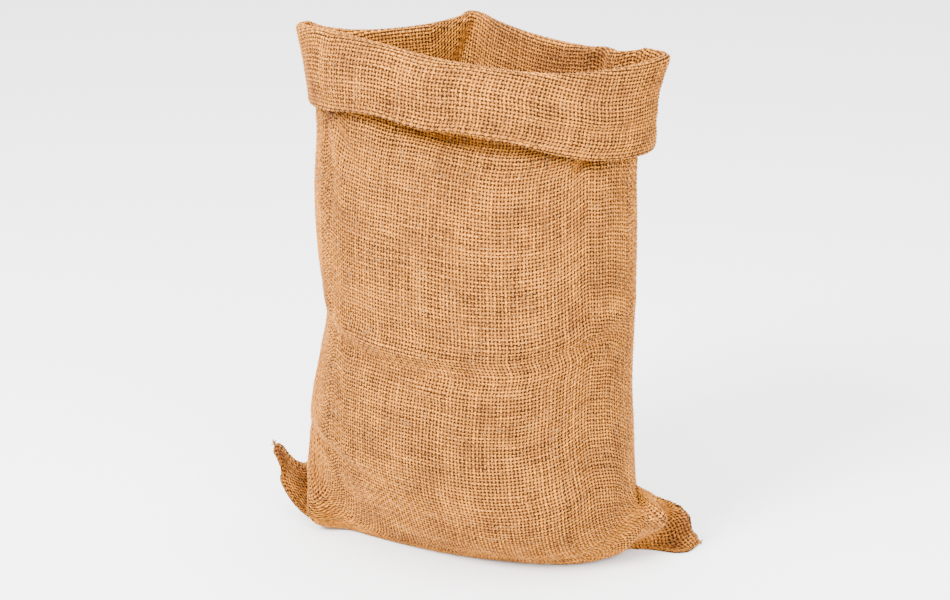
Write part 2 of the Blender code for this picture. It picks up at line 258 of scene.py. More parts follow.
# %% One ring of the body
OUTLINE_STEPS = 1440    # steps of a half outline before it is evenly walked
END_POWER = 3           # how late a ring climbs to its ends
END_EARLIER = (1.2, 1.6)        # by how much earlier at the rim, front and back
NEAR_FLOOR = 0.030      # rings lower than this in the middle climb later still
FLOOR_POWER = 4


def ridge_place(size):
    """Where the back's ridge stands at this height: it leans to the left going down."""
    below = np.clip(RIM_BACK - size["z_back"], 0, RIDGE_REACH)
    return RIDGE_X - RIDGE_SLANT * below


def half_outline(size, depth, vee, lean, places):
    """One half of a section, left end to right end, evenly walked; depth comes out positive."""
    angle = np.linspace(0, np.pi, OUTLINE_STEPS + 1)
    c = np.cos(angle)
    s = np.clip(np.sin(angle), 0, 1)
    on_left = c > 0
    reach = np.where(on_left, size["left"], size["right"])
    x = -c * reach
    round_side = s ** np.where(on_left, size["sharp_left"], size["sharp_right"])
    ridge_x = ridge_place(size)
    span = np.where(x < ridge_x, ridge_x + size["left"], size["right"] - ridge_x)
    ridge = 1 - np.sqrt((np.abs(x - ridge_x) / span) ** 2 + RIDGE_ROUND)
    ridge = np.clip(ridge / ridge.max(), 0, 1) ** np.where(x < ridge_x, *RIDGE_HOLLOW)
    y = ((1 - vee) * round_side + vee * ridge) * depth * (1 + lean * x / reach)
    from_end = np.clip(1 - (reach - np.abs(x)) / PRESSED, 0, 1)
    y = y + PRESSED * np.sqrt(1 - from_end**2)
    walked = np.concatenate([[0], np.cumsum(np.hypot(np.diff(x), np.diff(y)))])
    at = places * walked[-1]
    return np.interp(at, walked, x), np.interp(at, walked, y)


def end_rise(x, size, middle, power):
    """Height along a section: level in the middle, climbing to its two ends."""
    share = np.clip(np.where(x < 0, -x / size["left"], x / size["right"]), 0, 1)
    end = np.where(x < 0, size["z_left"], size["z_right"])
    near_floor = np.clip(1 - middle / NEAR_FLOOR, 0, 1)
    return middle + (end - middle) * share ** (power + FLOOR_POWER * near_floor)


def front_dip(x, size):
    """How far the front of a ring sags, most at SAG_X and nothing at its ends."""
    left_of = np.clip((SAG_X - x) / SAG_REACH, 0, 1)
    right_of = np.clip((x - SAG_X) / (size["right"] - SAG_X), 0, 1)
    return size["sag"] * np.where(x < SAG_X, np.cos(np.pi * left_of / 2) ** 2, 1 - right_of**SAG_POWER)


def back_dip(x, size):
    """How far the back of a ring dips on both sides of the ridge."""
    ridge_x = ridge_place(size)
    left_of = x < ridge_x
    from_ridge = np.where(left_of, (ridge_x - x) / (ridge_x + size["left"]),
                          (x - ridge_x) / (size["right"] - ridge_x))
    dipped = np.clip(from_ridge / np.where(left_of, *SIDE_DIP_REACH), 0, 1)
    dip = SIDE_DIP * size["vee"] * np.sin(np.pi * dipped) ** SIDE_DIP_POWER
    return dip * np.where(left_of, *SIDE_DIP_SHARE)


def body_ring(size, places):
    """One closed ring of the body: the front from left to right, then the back."""
    half = len(places) - 1
    fx, fy = half_outline(size, size["front"], 0, size["lean"], places)
    bx, by = half_outline(size, size["back"], size["vee"], 0, places)
    front_power, back_power = (END_POWER - earlier * size["vee"] for earlier in END_EARLIER)
    fz = end_rise(fx, size, size["z_front"], front_power) - front_dip(fx, size)
    bz = end_rise(bx, size, size["z_back"], back_power) - back_dip(bx, size)
    x = np.concatenate([fx[:half], bx[::-1][:half]])
    y = np.concatenate([-fy[:half], by[::-1][:half]])
    z = np.concatenate([fz[:half], bz[::-1][:half]])
    turn = np.radians(size["turn"])
    return np.stack([x * np.cos(turn) - y * np.sin(turn),
                     x * np.sin(turn) + y * np.cos(turn) + size["y_mid"], z], -1)


print("a ring is two half outlines of", OUTLINE_STEPS, "steps, front and back")

# %% [markdown]
# ## The ears
#
# A flat sack that is filled pulls its two bottom corners out flat: the layers lie on each
# other there, and the corner sticks out as an ear. Each ear is a strip between two edges, the
# one that is the bottom seam and the one that is the side, given by a few stations from its
# root on the body to its tip.

# %% Ear tables
# gap: distance between the two layers, as a multiple of PRESSED; curl: how far the middle
# lies behind the two edges, so that the ear is folded along its length.
EAR = "station way seam_x seam_y seam_z side_x side_y side_z gap curl"
LEFT_EAR = table(
    EAR,
    ("body",  0.00, -.0760, .009, .0008, -.1340, .003, .0680, 9.0, .0000),
    ("root",  0.22, -.1100, .009, .0008, -.1385, .006, .0560, 5.0, .0000),
    ("swell", 0.42, -.1376, .004, .0030, -.1430, .010, .0485, 2.4, .0000),
    ("bend",  0.55, -.1499, .005, .0105, -.1458, .012, .0462, 1.8, .0000),
    ("waist", 0.68, -.1600, .007, .0215, -.1500, .013, .0462, 1.6, .0025),
    ("bulge", 0.78, -.1652, .008, .0330, -.1550, .013, .0486, 1.5, .0050),
    ("neck",  0.86, -.1638, .009, .0385, -.1600, .013, .0535, 1.4, .0064),
    ("upper", 0.93, -.1676, .010, .0480, -.1636, .013, .0585, 2.0, .0056),
    ("tip",   1.00, -.1730, .012, .0560, -.1700, .013, .0625, 2.6, .0020),
)
RIGHT_EAR = table(
    EAR,
    ("body",  0.00, .0790, .0140, .0008, .1180, .003, .0780, 9.0, .0000),
    ("root",  0.22, .1030, .0160, .0008, .1170, .004, .0770, 5.0, .0000),
    ("swell", 0.42, .1220, .0185, .0008, .1305, .011, .0570, 2.4, .0010),
    ("bend",  0.57, .1385, .0200, .0006, .1425, .018, .0470, 1.7, .0040),
    ("waist", 0.72, .1540, .0185, .0006, .1560, .0255, .0390, 1.6, .0080),
    ("shoulder", 0.84, .1650, .0225, .0008, .1650, .0300, .0285, 1.6, .0080),
    ("neck",  0.92, .1685, .0310, .0010, .1678, .0360, .0135, 1.6, .0040),
    ("tip",   1.00, .1712, .0405, .0020, .1712, .0425, .0072, 1.4, .0015),
)
ROOT_LEVEL = 2.5        # how long the root of an ear stays down on the floor before it climbs
EAR_STEP = 0.04         # over which an ear's direction is taken
LEFT_LEGS = (.085, .066)        # how much of the bottom seam and of the side is the ear's
RIGHT_LEGS = (.080, .060)
# Soft shapes of an ear's front layer. out: 0 at the root, 1 at the tip, with a reach inward and
# outward; middle and tall: where between the seam (-1) and the side (1), and how far it
# reaches there; push: metres it moves the cloth; both: 1 where the back layer goes with it.
SOFT = "shape out inner outer middle tall push_x push_y push_z both"
LEFT_SOFT = table(
    SOFT,
    ("swelling of the body", 0.24, .24, .08,  .25, .60, -.0035, -.0190, .0010, 0),
    ("crease behind it",     0.42, .06, .20,  .25, .75, .0080, .0250, .0000, 1),
)
RIGHT_SOFT = table(
    SOFT,
    ("lip of the body",      0.38, .30, .10,  .60, .34, .0190, -.0180, .0140, 0),
    ("lip, overhang",        0.46, .12, .07,  .55, .34, .0125, -.0040, .0000, 0),
    ("hollow behind the lip", 0.60, .08, .12, .45, .50, -.0040, .0110, .0000, 1),
    ("hollow under the lip", 0.48, .20, .20, -.25, .34, .0000, .0080, .0000, 1),
    ("valley above the lip", 0.05, .10, .14,  .94, .20, -.0040, .0080, .0000, 1),
)


def from_left_seam(u):
    """Distance from the left side over the flat sack; u goes from 0 to 2 round the sack."""
    return np.minimum(u, 2 - u) * FLAT_WIDTH


def from_right_fold(u):
    """Distance from the right side over the flat sack."""
    return np.abs(1 - u) * FLAT_WIDTH


def on_ear(r, s, legs):
    """How far out on an ear a flat place is, and where across, from its distances to the two edges.

    Out is 0 at the root and 1 at the tip; across is -1 on the bottom seam and 1 on the side.
    """
    from_side = r / legs[0]
    from_seam = s / legs[1]
    across = (from_seam - from_side) / (from_seam + from_side + 1e-9)
    return 1 - from_side - from_seam, across


def ear_points(rows, out, across, layer, turned):
    """Points of an ear: out from root to tip, across from the seam edge to the side edge."""
    def along_ear(name, at):
        return curve(column(rows, "way"), column(rows, name), at)

    def edge(name, at):
        return np.stack([along_ear(name + axis, at) for axis in "xyz"], -1)

    def both_edges(at):
        return edge("seam_", at) + edge("side_", at)

    out = np.clip(out, 0, 1)
    seam = edge("seam_", out)
    side = edge("side_", out)
    near = np.clip(out - EAR_STEP / 2, 0, 1 - EAR_STEP)
    normal = unit(np.cross(both_edges(near + EAR_STEP) - both_edges(near), side - seam))
    gap = 1 + (along_ear("gap", out) - 1) * (1 - across**2)
    curl = along_ear("curl", out) * (1 - across**2)
    apart = (layer * PRESSED * gap + turned * curl)[..., None]
    share = ((across + 1) / 2)[..., None]
    climb = np.concatenate([share, share, share ** (1 + ROOT_LEVEL * (1 - out[..., None]))], -1)
    return seam + (side - seam) * climb + apart * normal


def soft_shapes(rows, out, across):
    """How far the pouches and creases of an ear move its front layer, and how far its back one."""
    front = np.zeros(out.shape + (3,))
    back = np.zeros(out.shape + (3,))
    for shape in rows:
        width = np.where(out < shape["out"], shape["inner"], shape["outer"])
        much = bell((out - shape["out"]) / width, (across - shape["middle"]) / shape["tall"])
        much = much * np.sqrt(np.clip(1 - across**2, 0, 1))
        moved = much[..., None] * np.array([shape["push_" + axis] for axis in "xyz"])
        front += moved
        back += moved * shape["both"]
    return front, back


for ear in (LEFT_EAR, RIGHT_EAR):
    print("tip of an ear at", [ear[-1]["seam_" + axis] for axis in "xyz"])


# %% The body, bottom seam to rim
BODY_RINGS = 320        # rings of the fine surface from the bottom seam to the rim
COLUMNS_HALF = 220      # columns across the front, and as many across the back
CROWDING = 0.35         # columns stand closer towards the ends
END_COLUMN = 0.004      # share of the width over which the layers close round an edge
EAR_BLEND = 0.50        # share of an ear over which it takes over from the body
FRONT_LEAD = 0.50       # how far before the root the soft shapes of the front begin
BACK_START = 0.12       # where those of the back layer begin, and over how much of the ear
BACK_BLEND = 0.25


def half_places():
    """Places of the columns along one half, 0 to 1, crowded towards the ends."""
    t = np.linspace(0, 1, COLUMNS_HALF + 1)
    return t - CROWDING * np.sin(2 * np.pi * t) / (2 * np.pi)


def body_surface(lengths, places):
    """The body from the bottom seam to the rim, with its ears drawn out."""
    half = len(places) - 1
    along = np.concatenate([places[:half], 2 - places[::-1][:half]])
    sizes = {n: curve(KNOTS, column(SECTIONS, n), lengths) for n in SECTIONS[0] if n != "section"}
    points = np.stack([body_ring({n: sizes[n][i] for n in sizes}, places) for i in range(len(lengths))])
    u, s = np.meshgrid(along, lengths)
    layer = np.where(u <= 1, -1.0, 1.0)
    left = (LEFT_EAR, LEFT_SOFT, LEFT_LEGS, from_left_seam(u), 1)
    right = (RIGHT_EAR, RIGHT_SOFT, RIGHT_LEGS, from_right_fold(u), -1)
    for rows, softs, legs, r, side in (left, right):
        out, across = on_ear(r, s, legs)
        rounded = side * layer * np.sqrt(np.clip(r / (END_COLUMN * FLAT_WIDTH), 0, 1))
        share = ease(out / EAR_BLEND)[..., None]
        points = points * (1 - share) + ear_points(rows, out, across, rounded, side) * share
        moves = soft_shapes(softs, out, across)
        front_share = np.where(layer < 0, ease(1 + out / FRONT_LEAD), 0)[..., None]
        back_share = np.where(layer > 0, ease((out - BACK_START) / BACK_BLEND), 0)[..., None]
        points = points + front_share * moves[0] + back_share * moves[1]
    return points, along


body_lengths = np.linspace(0, RIM, BODY_RINGS)
body, along = body_surface(body_lengths, half_places())
print("fine surface:", body.shape[0], "rings of", body.shape[1], "points")

# %% [markdown]
# ## Folds and dents
#
# Each fold is a soft bell-shaped dent with a place, a direction, a length, a width and a
# depth. A broad shallow one is a hollow; a long narrow one is a crease. The big ones shape
# the outline, the small ones keep the cloth from looking like a moulded shell.

# %% Fold table
# along: 0 left seam, 1 right-hand fold, 2 left seam again; up: share of the height from the
# bottom seam to the rim; turn: degrees between the long axis and the weft; deep: metres
# inward, less than nothing for a swelling.
FOLD = "fold along up turn long wide deep"
FOLDS = table(
    FOLD,
    ("left waist",      0.02, .455,  80, .034, .030, .0066),
    ("right waist",     0.97, .760,  85, .030, .020, .0020),
    ("front swelling",  0.55, .400,  80, .120, .070, -.0030),
    ("back hollow",     1.50, .550,  70, .090, .060, .0040),
    ("ridge groove",    1.602, .930, 112, .034, .0045, -.0050),
    ("ridge strip",     1.585, .930, 108, .034, .0050, .0022),
    ("second groove",   1.566, .930, 102, .034, .0080, -.0030),
    ("notch groove",    1.165, .975, 95, .040, .0070, -.0050),
    ("notch swelling",  1.100, .980, 90, .040, .0140, .0035),
)
CREASES = table(
    FOLD,
    ("left pinch",      0.136, .900,  36, .014, .0070, .0120),
    ("pinch fan, high", 0.205, .815, -52, .026, .0050, .0022),
    ("pinch fan, mid",  0.170, .800, -66, .030, .0050, -.0018),
    ("pinch fan, low",  0.130, .780, -75, .035, .0070, .0024),
    ("under the cuff",  0.480, .894,  -3, .085, .0100, .0120),
    ("right dimple",    0.824, .846,  10, .011, .0075, .0085),
    ("dimple tail",     0.800, .815, -75, .020, .0060, .0020),
    ("waist ridge, l",  0.300, .505,   2, .066, .0085, -.0038),
    ("waist ridge, r",  0.780, .520,  -3, .062, .0085, -.0036),
    ("waist valley",    0.430, .476,   0, .090, .0110, .0048),
    ("waist valley, r", 0.860, .494,   4, .040, .0070, .0020),
    ("second ridge",    0.440, .450, -18, .026, .0060, -.0026),
    ("second valley",   0.430, .434, -18, .030, .0070, .0018),
    ("low left crease", 0.160, .234,  10, .048, .0060, .0036),
    ("low left ridge",  0.170, .258,  10, .045, .0080, -.0018),
    ("right hollow",    0.950, .700,  88, .070, .0260, .0012),
    ("pulled yarn",     0.766, .280, -73, .024, .0024, .0014),
    ("low right ridge", 0.880, .200,  60, .045, .0120, -.0016),
    ("back crease",     1.300, .350,  30, .070, .0180, .0030),
    ("back fan",        1.800, .780,  50, .040, .0090, .0022),
    ("back low crease", 1.650, .220, -25, .060, .0100, .0024),
)
CREASE_ENDS = (0.05, 0.03)      # creases fade out this close to the bottom seam and to the rim


def fold_depth(u, s, folds):
    """How far a table of folds presses the cloth inward."""
    total = np.zeros_like(u)
    for fold in folds:
        turn = np.radians(fold["turn"])
        for lap in (-2, 0, 2):
            a = (u - fold["along"] + lap) * FLAT_WIDTH
            b = s - fold["up"] * RIM
            lengthwise = (a * np.cos(turn) + b * np.sin(turn)) / fold["long"]
            crosswise = (b * np.cos(turn) - a * np.sin(turn)) / fold["wide"]
            total += fold["deep"] * bell(lengthwise, crosswise)
    return total


def outward(points):
    """Unit normals of a grid of rings that closes round its columns."""
    across = np.roll(points, -1, 1) - np.roll(points, 1, 1)
    return unit(np.cross(across, np.gradient(points, axis=0)))


u_grid, s_grid = np.meshgrid(along, body_lengths)
broad = body - outward(body) * fold_depth(u_grid, s_grid, FOLDS)[..., None]
broad[..., 2] = SHEET / 2 + np.maximum(broad[..., 2] - SHEET / 2 - SETTLED, 0)
broad_normal = outward(broad)
creased = ease(s_grid / CREASE_ENDS[0]) * ease((RIM - s_grid) / CREASE_ENDS[1])
body = broad - broad_normal * (creased * fold_depth(u_grid, s_grid, CREASES))[..., None]
body[..., 2] = np.maximum(body[..., 2], SHEET / 2)
print(len(FOLDS), "broad folds and", len(CREASES), "creases")

# %% [markdown]
# ## Cuff and turned edge
#
# Past the rim the same cloth rolls over and comes down outside the body as the cuff. Its
# lower edge is a small roll, because the raw edge is turned back up inside it.

# %% Cuff table
# hang: how far the cuff hangs down; top/low: how far it stands off the body just under the
# rim and at its lower edge. The cuff follows the body's broad shape but not its creases,
# and has a few soft creases of its own: down is 0 at the rim and 1 at its lower edge.
CUFF = table(
    "place along hang top low",
    ("left end",           0.00, .0600, .0050, .0040),
    ("front left",         0.15, .0530, .0116, .0085),
    ("short at the left",  0.24, .0460, .0137, .0125),
    ("front mid left",     0.32, .0428, .0146, .0146),
    ("longer again",       0.43, .0447, .0148, .0155),
    ("front middle",       0.51, .0428, .0146, .0150),
    ("front mid right",    0.61, .0456, .0130, .0130),
    ("front right",        0.75, .0578, .0100, .0100),
    ("near the right",     0.83, .0668, .0086, .0104),
    ("right end",          1.00, .0755, .0056, .0118),
    ("back right",         1.25, .0660, .0084, .0084),
    ("back middle",        1.50, .0600, .0084, .0084),
    ("back left",          1.75, .0580, .0080, .0076),
    ("left end again",     2.00, .0600, .0050, .0040),
)
CUFF_FOLDS = table(
    "fold along down long wide deep",
    ("crease over the hem, right", 0.82, .68, .060, .0065, .0024),
    ("ridge above it",             0.78, .48, .060, .0080, -.0014),
    ("lower edge, middle",         0.45, .80, .080, .0080, .0010),
    ("left swelling",              0.14, .50, .030, .0200, -.0016),
    ("right end hollow",           0.93, .45, .014, .0250, .0020),
)
print(len(CUFF), "places round the cuff,", len(CUFF_FOLDS), "creases in it")


# %% Rings of the cuff
CUFF_BULGE = 0.0022     # how far the middle of the cuff swells outward
BULGE_FADE = 4          # the swelling fades over the last quarter of the way to each end
CREASE_FADE = 6         # creases fade over the lowest sixth of the cuff
CUFF_SETTLE = 1.1       # the cuff has its lower distance a little before its lower edge
HEM_STEP = 0.004        # over which the direction up the body is taken at the hem
TURN_CLEAR = 0.0024     # the turned edge stays this far off the body
TURN_END = 0.0026       # and ends no further off than this
TURN_SETTLE = 1.5       # it gets there after two thirds of its way up
ROLL_RINGS = 12
CUFF_RINGS = 60
HEM_RINGS = 8
TURN_RINGS = 20


def taken_at(grid, s):
    """Rows of a fine grid at the given cloth lengths, one length for each column."""
    row = np.clip(s / RIM, 0, 1) * (len(grid) - 1)
    low = np.clip(row.astype(int), 0, len(grid) - 2)
    share = (row - low)[:, None]
    column = np.arange(grid.shape[1])
    return grid[low, column] * (1 - share) + grid[low + 1, column] * share


def beside_body(s, off):
    """A ring beside the body at the given cloth lengths, the given distance off it."""
    return taken_at(broad, s) + taken_at(broad_normal, s) * off[:, None]


def cuff_creases(share, hang):
    """How far the cuff's own creases press it inward, at a share of the way down."""
    total = np.zeros_like(hang)
    for fold in CUFF_FOLDS:
        lengthwise = (along - fold["along"]) * FLAT_WIDTH / fold["long"]
        crosswise = (share - fold["down"]) * hang / fold["wide"]
        total += fold["deep"] * bell(lengthwise, crosswise)
    return total * ease((1 - share) * CREASE_FADE)


def cuff_rings():
    """The rings past the rim: the roll, the cuff, the small roll below it, the turned edge."""
    hang, top, low = (curve(column(CUFF, "along"), column(CUFF, n), along) for n in ("hang", "top", "low"))
    up = unit(broad[-1] - broad[-6])
    rings = []
    for angle in np.linspace(0, np.pi, ROLL_RINGS + 2)[1:]:
        sideways = (top / 2 * (1 - np.cos(angle)))[:, None]
        rise = (top / 2 * np.sin(angle))[:, None]
        rings.append(broad[-1] + broad_normal[-1] * sideways + up * rise)
    near_ends = ease(np.minimum(along, 2 - along) * BULGE_FADE) * ease(np.abs(1 - along) * BULGE_FADE)
    for share in np.linspace(0, 1, CUFF_RINGS + 1)[1:]:
        bulge = CUFF_BULGE * np.sin(np.pi * share) * near_ends
        off = top + (low - top) * ease(share * CUFF_SETTLE) + bulge - cuff_creases(share, hang)
        rings.append(beside_body(RIM - share * hang, off))
    foot = RIM - hang
    foot_up = unit(taken_at(broad, foot + HEM_STEP) - taken_at(broad, foot - HEM_STEP))
    inner = np.maximum(low - 2 * HEM_RADIUS, TURN_CLEAR)
    radius = (low - inner) / 2
    for angle in np.linspace(0, np.pi, HEM_RINGS + 2)[1:-1]:
        drop = (radius * np.sin(angle))[:, None]
        rings.append(beside_body(foot, low - radius + radius * np.cos(angle)) - foot_up * drop)
    for share in np.linspace(0, 1, TURN_RINGS + 1):
        off = inner + (np.minimum(inner, TURN_END) - inner) * ease(share * TURN_SETTLE)
        rings.append(beside_body(foot + share * HEM_TURN, off))
    return np.stack(rings)


TABLE_CENTRE = (0.00296, -0.00077)      # middle of the plain solid's box in the tables' frame
cloth = np.concatenate([body, cuff_rings()])
cloth[..., 0] += centre_x - TABLE_CENTRE[0]
cloth[..., 1] += centre_y - TABLE_CENTRE[1]
print("whole cloth:", cloth.shape[0], "rings, top at", round(cloth[..., 2].max(), 4), "m")

# %% [markdown]
# ## From flat weave to standing cloth
#
# Yarns are evenly spaced along each other, however the cloth is folded. So the fine surface
# is walked twice: round every ring for the warp, which runs up the sack, and then up every
# warp line for the weft, which runs round it. Where the body is fuller than its rim the warp
# lies a little wider, as in stretched cloth. The result is a lattice with one point for each
# corner between yarns. `stand_up` takes any point of the flat cloth, counted in yarns, with a
# height off its middle, to its place on the standing sack.


# %% The lattice
def walk(points, steps):
    """The same line with its points evenly spaced, and its length."""
    walked = np.concatenate([[0], np.cumsum(np.linalg.norm(np.diff(points, axis=0), axis=1))])
    at = np.linspace(0, walked[-1], steps + 1)
    return np.stack([np.interp(at, walked, points[:, axis]) for axis in range(3)], -1), walked[-1]


rings_even = np.stack([walk(np.concatenate([ring, ring[:1]]), WARP_YARNS)[0] for ring in cloth])
cloth_length = np.mean([walk(rings_even[:, a], 10)[1] for a in range(WARP_YARNS)])
WEFT_YARNS = round(cloth_length / PITCH / 2) * 2
lattice = np.stack([walk(rings_even[:, a], WEFT_YARNS)[0] for a in range(WARP_YARNS + 1)], axis=1)
lattice_normal = outward(lattice[:, :-1])
lattice_normal = np.concatenate([lattice_normal, lattice_normal[:, :1]], axis=1)
print("warp", WARP_YARNS, "weft", WEFT_YARNS, "cloth length", round(cloth_length, 3), "m")


# %% Standing up
def stand_up(a, b, height):
    """Standing places of flat points: a warp yarns across, b weft yarns up, height off the middle."""
    a = np.clip(a, 0, WARP_YARNS - 1e-6)
    b = np.clip(b, 0, WEFT_YARNS - 1e-6)
    i = b.astype(int)
    j = a.astype(int)
    q = (b - i)[:, None]
    p = (a - j)[:, None]

    def between(grid):
        low = grid[i, j] * (1 - p) + grid[i, j + 1] * p
        high = grid[i + 1, j] * (1 - p) + grid[i + 1, j + 1] * p
        return low * (1 - q) + high * q

    place = between(lattice) + unit(between(lattice_normal)) * height[:, None]
    place[:, 2] = np.maximum(place[:, 2], 0)
    return place


half_way = stand_up(np.array([WARP_YARNS / 4]), np.array([WEFT_YARNS / 2]), np.zeros(1))[0]
print("a yarn crossing half-way up the front stands at", half_way.round(3))

# %% [markdown]
# ## Darker places and painted shade
#
# The ears are toned darker. Painted shade darkens the left ear towards the body and along its
# middle groove, the creases behind the ears' swellings, the inside of the mouth and the pinch
# under the cuff, where little light reaches. Each yarn carries this darkening as a value at
# its points.


# %% How dark each place is
PINCH_SHADE = table(FOLD, ("left pinch", 0.136, .900, 36, .014, .0080, 1.0))


def ramp(at, start, over):
    """0 up to the start, then softly up to 1."""
    return ease((at - start) / over)


def painted_shade_and_ear_tone(a, b):
    """How dark the cloth is at a flat place, 0 to 1: the ears' darker tone and painted shade.

    Each term is how dark it gets, times where it lies and how softly it begins or ends.
    """
    u = a / WARP_YARNS * 2
    s = b * PITCH
    left, across = on_ear(from_left_seam(u), s, LEFT_LEGS)
    right = on_ear(from_right_fold(u), s, RIGHT_LEGS)[0]
    # the left ear is toned darker, and more towards the body: painted shade of the body
    left_ear = (0.14 + 0.50 * ramp(across, -0.6, 1.1)) * ramp(left, 0.24, 0.16)
    # painted shade along the left ear's middle groove
    left_groove = 0.42 * bell((across - 0.05) / 0.25) * ramp(left, 0.58, 0.12)
    # the right ear is toned darker
    right_ear = 0.22 * ramp(right, 0.30, 0.25)
    # painted shade in the crease behind the left ear's swelling and the hollow behind the right ear's lip
    creases = 0.20 * bell((left - 0.44) / 0.10) + 0.44 * bell((right - 0.60) / 0.12)
    # painted shade inside the mouth
    mouth = 0.58 * bell((u - 1.28) / 0.22) * ramp(s, RIM - 0.08, 0.04) * (1 - ramp(s, RIM, 0.004))
    # painted shade in the pinch under the cuff
    pinch = fold_depth(u, s, PINCH_SHADE)
    return np.minimum(np.maximum(left_ear + left_groove, right_ear) + creases + mouth + pinch, 1)


ear_tips = painted_shade_and_ear_tone(np.array([0, WARP_YARNS / 2]), np.zeros(2))
print("darkness at the two ear tips:", ear_tips.round(2))

# %% [markdown]
# ## A sheet of painted shade between the yarns
#
# A dark sheet between the yarns keeps the light out, so the gaps, open in real burlap, show as
# painted shade. It is one thin sheet through the middle of the cloth: a flat grid with a square
# for every crossing, stood up by `stand_up`, closed along the left side and thickened by Solidify.

# %% The sheet
GROUND_THICK = 0.0004
WELD = 0.00002          # points of the left side closer than this become one


def read(items, field, kind=int, width=1):
    """One field of all the points, faces or face corners of a mesh, as an array."""
    values = np.empty(len(items) * width, kind)
    items.foreach_get(field, values)
    return values.reshape(-1, width) if width > 1 else values


def add_uv(mesh, name, places):
    """A UV map with the given place for each face corner."""
    mesh.uv_layers.new(name=name).data.foreach_set("uv", places.astype(np.float32).ravel())


grid = bmesh.new()
bmesh.ops.create_grid(grid, x_segments=WARP_YARNS, y_segments=WEFT_YARNS, size=0.5)
sheet = new_piece("sack_cloth_sheet", grid)
flat = read(sheet.data.vertices, "co", float, 3)
across = (flat[:, 0] + 0.5) * WARP_YARNS
upward = (flat[:, 1] + 0.5) * WEFT_YARNS
add_uv(sheet.data, "OFBake", flat[read(sheet.data.loops, "vertex_index"), :2] + 0.5)
sheet.data.vertices.foreach_set("co", stand_up(across, upward, np.zeros(len(flat))).ravel())
sheet.data.shade_smooth()
closing = bmesh.new()
closing.from_mesh(sheet.data)
seam_side = [v for v, a in zip(closing.verts, across) if a < 0.5 or a > WARP_YARNS - 0.5]
bmesh.ops.remove_doubles(closing, verts=seam_side, dist=WELD)
closing.to_mesh(sheet.data)
closing.free()
thicken = sheet.modifiers.new("thickness", "SOLIDIFY")
thicken.thickness = GROUND_THICK
thicken.offset = 0
print("sheet:", len(sheet.data.vertices), "points,", len(sheet.data.polygons), "faces")

# %% [markdown]
# ## The yarns
#
# A plain weave sends each yarn over one and under the next. One straight yarn is a four-sided
# tube with a ring of points at every crossing; an Array modifier lays a sheaf of them side by
# side. The points are then lifted and lowered in turn, which makes the weave, squeezed flat,
# which makes the yarn lie in the cloth, and stood up with the sheet. Real jute is uneven, so
# each yarn is a little thicker here and thinner there, and wanders from its line.

# %% A sheaf of straight yarns
YARN_SIDES = 4
TUBE = 0.25             # radius of a straight yarn, before it gets its own thickness


def applied(thing):
    """The mesh that an object's modifiers or bevel make; the object itself goes."""
    shown = thing.evaluated_get(bpy.context.evaluated_depsgraph_get())
    mesh = bpy.data.meshes.new_from_object(shown)
    bpy.data.objects.remove(thing, do_unlink=True)
    mesh.shade_smooth()
    return mesh


def straight_sheaf(count, crossings):
    """Yarns side by side along X, each along Y, one unit apart, a ring of points per crossing."""
    length = crossings - 1
    tube = bmesh.new()
    bmesh.ops.create_cone(tube, cap_ends=True, cap_tris=False, segments=YARN_SIDES,
                          radius1=TUBE, radius2=TUBE, depth=length)
    lay_down = Matrix.Rotation(math.radians(-90), 3, "X")
    bmesh.ops.rotate(tube, cent=(0, 0, 0), matrix=lay_down, verts=tube.verts)
    lengthwise = [e for e in tube.edges if abs(e.verts[0].co.y - e.verts[1].co.y) > 1]
    bmesh.ops.subdivide_edges(tube, edges=lengthwise, cuts=length - 1, use_grid_fill=True)
    bmesh.ops.translate(tube, vec=(0, length / 2, 0), verts=tube.verts)
    sheaf = new_piece("straight yarn", tube)
    array = sheaf.modifiers.new("side by side", "ARRAY")
    array.count = count
    array.use_relative_offset = False
    array.use_constant_offset = True
    array.constant_offset_displace = (1, 0, 0)
    return applied(sheaf)


print("a yarn has", YARN_SIDES, "sides")

# %% [markdown]
# A loom keeps its yarns even, but a sack that has been filled and folded has looser and
# tighter places. One smooth random shift for the warp and one for the weft move the
# crossings. Towards a sewn edge the yarns are drawn together, and a yarn lies right on the
# fold, or the side would show a gap.

# %% Where the yarns cross
EDGE_PULL = 0.28        # of a yarn's pitch by which the outermost yarns are drawn to an edge
EDGE_REACH = 1.5        # yarns over which that fades
FOLD_REACH = 25         # yarns over which the half step onto the fold fades
SHIFT_STEP = 8          # yarns from one random shift to the next
SHIFT = 0.10            # how large they are, in pitches
STILL_EDGE = 4          # yarns from an edge over which they fade
MOST_VALUES = 0.6       # two in three of the smooth random values are smaller than this
YARN_COVER = 1.1        # how much a yarn spreads where the cloth bends sharply
LITTLE_BEND = 0.12      # up to which it doesn't spread
WIDEST = 1.5            # of its own width, the most it spreads
chance = np.random.default_rng(7)


def filled_in(knots, count, step):
    """Each row of random knots, one every so many steps, with soft changes between them."""
    at = np.arange(count) / step
    low = at.astype(int)
    share = ease(at - low)
    return knots[:, low] * (1 - share) + knots[:, low + 1] * share


def uneven(count, crossings, step):
    """A smooth random value, about -1 to 1, for each yarn at each crossing."""
    knots = chance.normal(0, MOST_VALUES, (count, crossings // step + 3))
    return filled_in(knots, crossings, step)


def loose_and_tight():
    """A smooth random shift over the whole cloth, so that the weave is looser here, tighter there."""
    knots = chance.normal(0, SHIFT, (WARP_YARNS // SHIFT_STEP + 3, WEFT_YARNS // SHIFT_STEP + 3))
    rows = filled_in(knots, WEFT_YARNS + 1, SHIFT_STEP)
    return filled_in(rows.T, WARP_YARNS + 1, SHIFT_STEP).T


warp_shift = loose_and_tight()
weft_shift = loose_and_tight()


